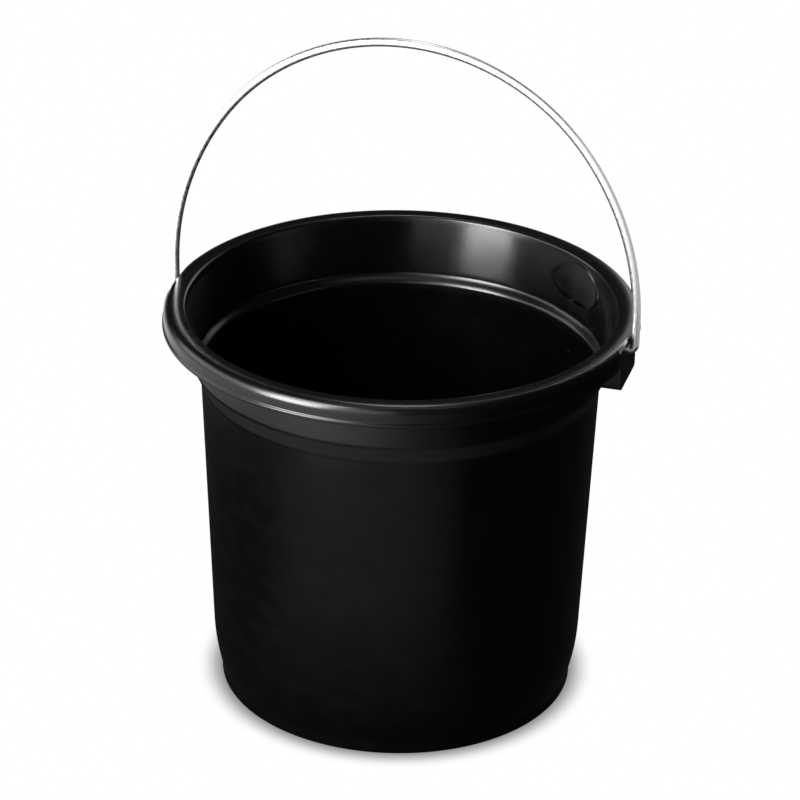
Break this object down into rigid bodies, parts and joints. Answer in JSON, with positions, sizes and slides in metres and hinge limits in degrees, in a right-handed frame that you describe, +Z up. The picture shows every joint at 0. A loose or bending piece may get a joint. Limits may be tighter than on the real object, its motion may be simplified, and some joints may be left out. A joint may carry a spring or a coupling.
{
  "type": "florist bucket",
  "caption": "Round tapered bucket with a wider collar, a turned-down rim with moulded ears, a raised litre strip inside and a swinging bent wire bail.",
  "frame": {"origin": "centre of the foot ring, on the surface the bucket stands on", "axes": "+Z up through the mouth, +X through the ears and along the bail's hinge axis, +Y across the bail's swing"},
  "size_m": [0.3068, 0.3, 0.4384],
  "materials": {
    "bucket_plastic": "semi-gloss black, moulded",
    "bail_steel": "bright zinc-plated wire"
  },
  "bodies": {
    "bucket": {"bucket_shell": "bucket_plastic"},
    "bail": {"bail_wire": "bail_steel"}
  },
  "joints": [
    {"name": "bail_hinge", "type": "hinge", "parent": "bucket", "child": "bail", "pos_m": [0, 0, 0.2514], "axis": [1, 0, 0], "range_deg": [-136, 136]}
  ]
}
